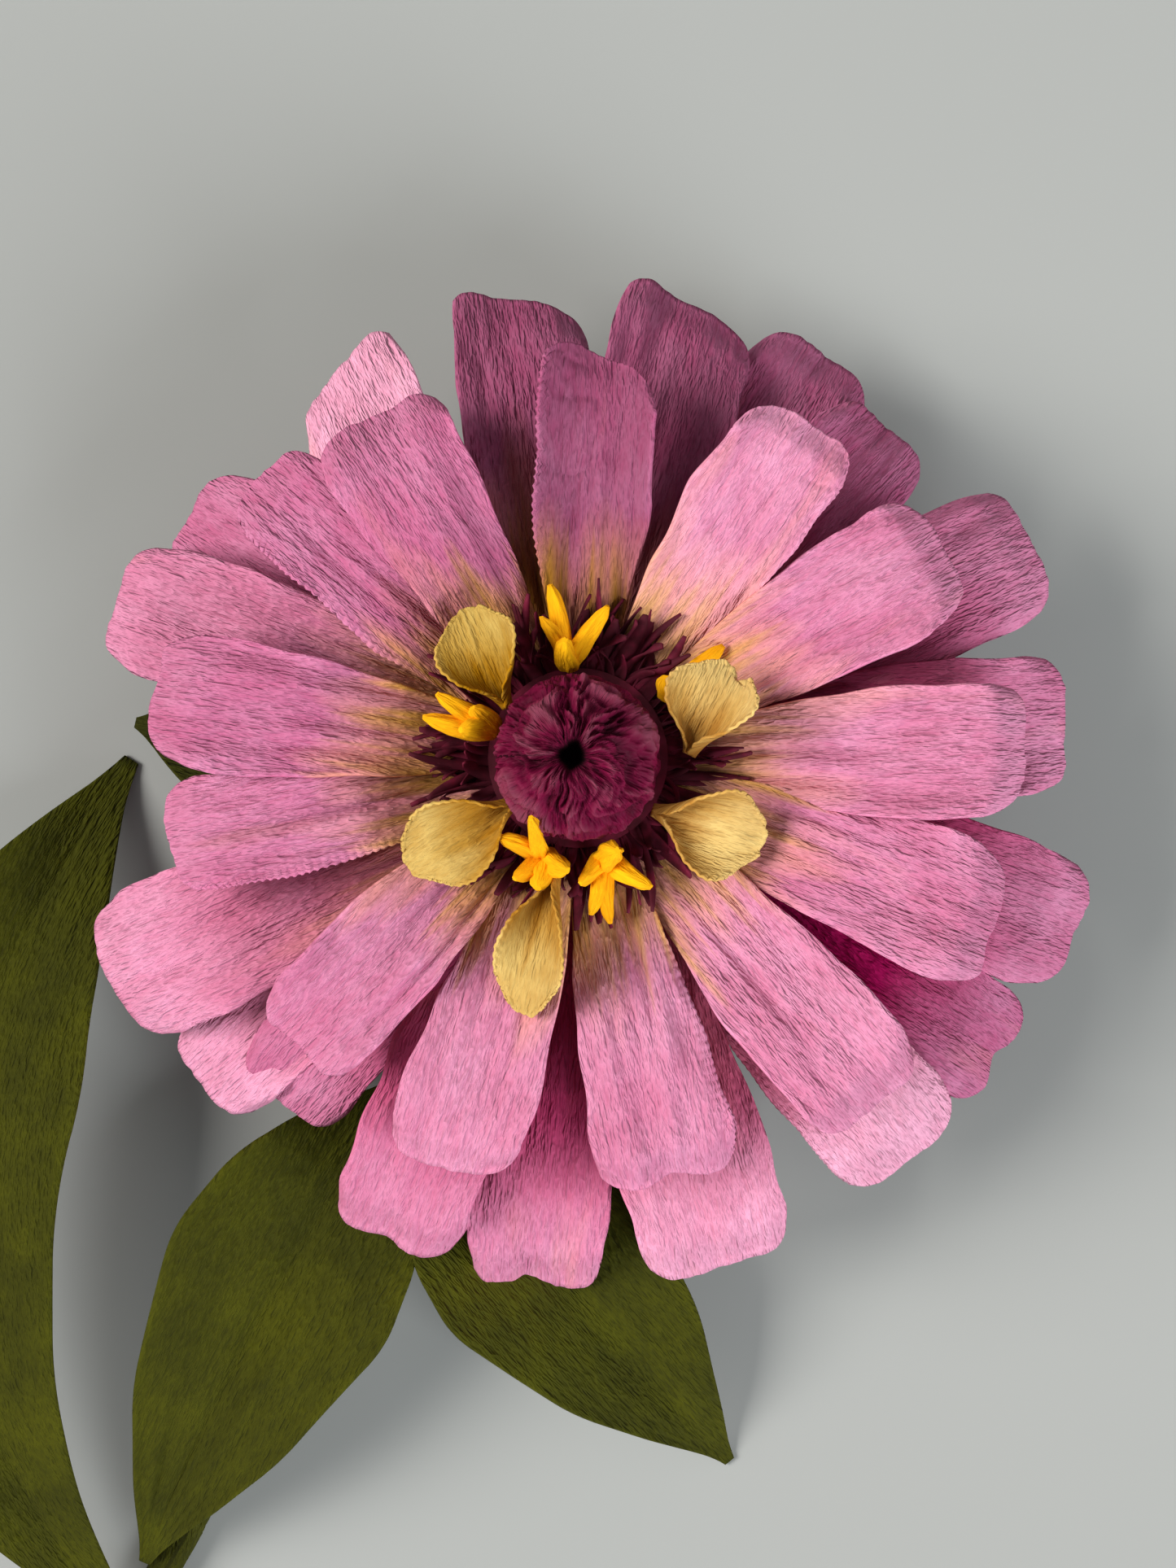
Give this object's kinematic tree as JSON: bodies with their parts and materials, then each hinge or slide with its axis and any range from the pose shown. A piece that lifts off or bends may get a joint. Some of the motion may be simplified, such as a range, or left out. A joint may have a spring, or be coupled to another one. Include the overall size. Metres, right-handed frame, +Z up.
{
  "type": "paper flower",
  "caption": "Handmade crepe paper zinnia with layered pink petals, a gathered burgundy centre, yellow florets, green leaves and a wrapped wire stem.",
  "frame": {"origin": "middle of the underside of the flower as it lies on a table", "axes": "+Z up, the way the bloom faces; the stem runs from the bloom towards -X and -Y"},
  "size_m": [0.1274, 0.1924, 0.0381],
  "materials": {
    "pink_crepe": "matte crepe",
    "cream_crepe": "matte crepe",
    "yellow_crepe": "matte crepe",
    "burgundy_crepe": "matte crepe, gathered",
    "fringe_crepe": "matte crepe, cut",
    "green_crepe": "matte crepe",
    "core_paper": "matte, wound",
    "florist_wire": "dull"
  },
  "bodies": {
    "root": {"front_petal_01": "pink_crepe", "front_petal_02": "pink_crepe", "front_petal_03": "pink_crepe", "front_petal_04": "pink_crepe", "front_petal_05": "pink_crepe", "front_petal_06": "pink_crepe", "front_petal_07": "pink_crepe", "front_petal_08": "pink_crepe", "front_petal_09": "pink_crepe", "front_petal_10": "pink_crepe", "front_petal_11": "pink_crepe", "front_petal_12": "pink_crepe", "front_petal_13": "pink_crepe", "middle_petal_01": "pink_crepe", "middle_petal_02": "pink_crepe", "middle_petal_03": "pink_crepe", "middle_petal_04": "pink_crepe", "middle_petal_05": "pink_crepe", "middle_petal_06": "pink_crepe", "middle_petal_07": "pink_crepe", "middle_petal_08": "pink_crepe", "middle_petal_09": "pink_crepe", "middle_petal_10": "pink_crepe", "middle_petal_11": "pink_crepe", "middle_petal_12": "pink_crepe", "middle_petal_13": "pink_crepe", "back_petal_01": "pink_crepe", "back_petal_02": "pink_crepe", "back_petal_03": "pink_crepe", "back_petal_04": "pink_crepe", "back_petal_05": "pink_crepe", "cream_petal_1": "cream_crepe", "cream_petal_2": "cream_crepe", "cream_petal_3": "cream_crepe", "cream_petal_4": "cream_crepe", "cream_petal_5": "cream_crepe", "floret_1": "yellow_crepe", "floret_2": "yellow_crepe", "floret_3": "yellow_crepe", "floret_4": "yellow_crepe", "floret_5": "yellow_crepe", "centre_ball": "burgundy_crepe", "centre_fringe": "fringe_crepe", "calyx": "green_crepe", "leaf_1": "green_crepe", "leaf_2": "green_crepe", "leaf_3": "green_crepe", "leaf_4": "green_crepe", "leaf_5": "green_crepe", "leaf_6": "green_crepe", "head_core": "core_paper", "stem_wrap": "green_crepe", "stem_wire": "florist_wire"}
  },
  "joints": []
}
